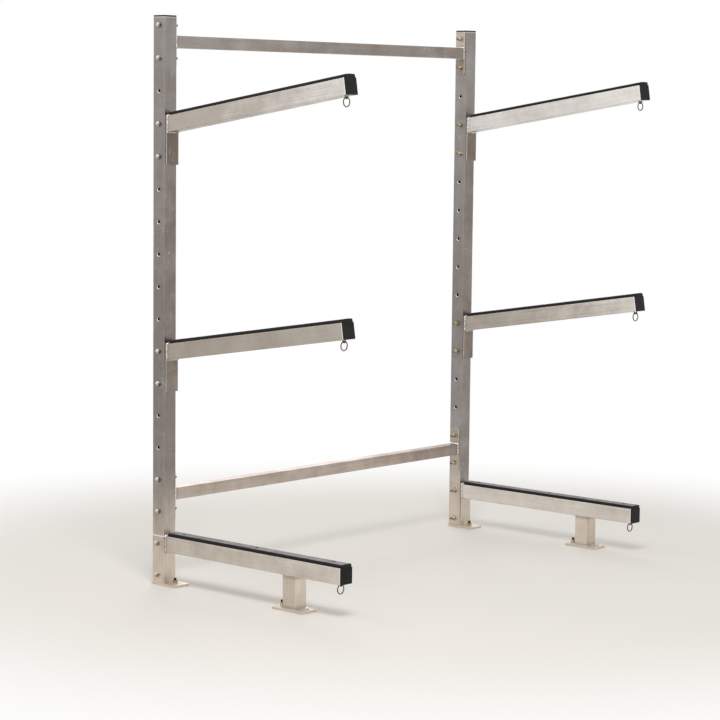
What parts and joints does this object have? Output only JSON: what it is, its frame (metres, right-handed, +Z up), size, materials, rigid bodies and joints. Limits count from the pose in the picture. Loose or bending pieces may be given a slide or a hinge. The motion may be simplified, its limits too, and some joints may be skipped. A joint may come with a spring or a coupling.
{
  "type": "dock kayak rack",
  "caption": "Free-standing post-and-arm rack for kayaks on a dock: drilled square posts joined by crossbars, with rubber-padded arms that carry tie-down rings and bolt on at any height.",
  "frame": {"origin": "on the floor, at the centre of the rack's bounding box", "axes": "+Z up; +X to the right of someone in front of the arms' tips who looks at the posts; the arms reach out towards -Y and the posts stand at +Y"},
  "size_m": [1.5456, 0.8078, 1.7892],
  "materials": {
    "post_aluminium": "mill finish, weathered to a dull grey",
    "bar_aluminium": "mill finish, weathered to a dull grey",
    "bracket_aluminium": "mill finish, satin",
    "arm_aluminium": "mill finish, satin with fine draw lines",
    "foot_aluminium": "mill finish, scuffed",
    "cap_plastic": "moulded, fine matt texture",
    "pad_rubber": "extruded, dull",
    "ring_steel": "stainless, dull",
    "zinc_steel": "bright zinc plate",
    "yellow_zinc_steel": "yellow zinc plate",
    "screw_steel": "blackened"
  },
  "bodies": {
    "rack": {"left_post": "post_aluminium", "right_post": "post_aluminium", "left_post_cap": "cap_plastic", "right_post_cap": "cap_plastic", "upper_crossbar": "bar_aluminium", "lower_crossbar": "bar_aluminium", "upper_bar_plates": "bar_aluminium", "lower_bar_plates": "bar_aluminium", "left_foot_plate": "foot_aluminium", "right_foot_plate": "foot_aluminium", "upper_left_bracket": "bracket_aluminium", "upper_right_bracket": "bracket_aluminium", "middle_left_bracket": "bracket_aluminium", "middle_right_bracket": "bracket_aluminium", "lower_left_bracket": "bracket_aluminium", "lower_right_bracket": "bracket_aluminium", "upper_left_arm": "arm_aluminium", "upper_right_arm": "arm_aluminium", "middle_left_arm": "arm_aluminium", "middle_right_arm": "arm_aluminium", "lower_left_arm": "arm_aluminium", "lower_right_arm": "arm_aluminium", "upper_left_pad": "pad_rubber", "upper_right_pad": "pad_rubber", "middle_left_pad": "pad_rubber", "middle_right_pad": "pad_rubber", "lower_left_pad": "pad_rubber", "lower_right_pad": "pad_rubber", "upper_left_arm_cap": "cap_plastic", "upper_right_arm_cap": "cap_plastic", "middle_left_arm_cap": "cap_plastic", "middle_right_arm_cap": "cap_plastic", "lower_left_arm_cap": "cap_plastic", "lower_right_arm_cap": "cap_plastic", "upper_left_eye": "ring_steel", "upper_right_eye": "ring_steel", "middle_left_eye": "ring_steel", "middle_right_eye": "ring_steel", "lower_left_eye": "ring_steel", "lower_right_eye": "ring_steel", "left_leg": "foot_aluminium", "right_leg": "foot_aluminium", "left_leg_plate": "foot_aluminium", "right_leg_plate": "foot_aluminium", "crossbar_bolts": "zinc_steel", "crossbar_nuts": "yellow_zinc_steel", "arm_bolts": "zinc_steel", "arm_nuts": "yellow_zinc_steel", "pad_screws": "screw_steel"},
    "upper_left_ring": {"upper_left_ring": "ring_steel"},
    "upper_right_ring": {"upper_right_ring": "ring_steel"},
    "middle_left_ring": {"middle_left_ring": "ring_steel"},
    "middle_right_ring": {"middle_right_ring": "ring_steel"},
    "lower_left_ring": {"lower_left_ring": "ring_steel"},
    "lower_right_ring": {"lower_right_ring": "ring_steel"}
  },
  "joints": [
    {"name": "upper_left_ring_swing", "type": "hinge", "parent": "rack", "child": "upper_left_ring", "pos_m": [-0.7318, -0.38024, 1.53986], "axis": [1, 0, 0], "range_deg": [-90, 80]},
    {"name": "upper_right_ring_swing", "type": "hinge", "parent": "rack", "child": "upper_right_ring", "pos_m": [0.7414, -0.38024, 1.53986], "axis": [1, 0, 0], "range_deg": [-90, 80]},
    {"name": "middle_left_ring_swing", "type": "hinge", "parent": "rack", "child": "middle_left_ring", "pos_m": [-0.7318, -0.38024, 0.82866], "axis": [1, 0, 0], "range_deg": [-90, 80]},
    {"name": "middle_right_ring_swing", "type": "hinge", "parent": "rack", "child": "middle_right_ring", "pos_m": [0.7414, -0.38024, 0.82866], "axis": [1, 0, 0], "range_deg": [-90, 80]},
    {"name": "lower_left_ring_swing", "type": "hinge", "parent": "rack", "child": "lower_left_ring", "pos_m": [-0.7366, -0.3807, 0.10435], "axis": [1, 0, 0], "range_deg": [-90, 90]},
    {"name": "lower_right_ring_swing", "type": "hinge", "parent": "rack", "child": "lower_right_ring", "pos_m": [0.7366, -0.3807, 0.10435], "axis": [1, 0, 0], "range_deg": [-90, 90]}
  ]
}
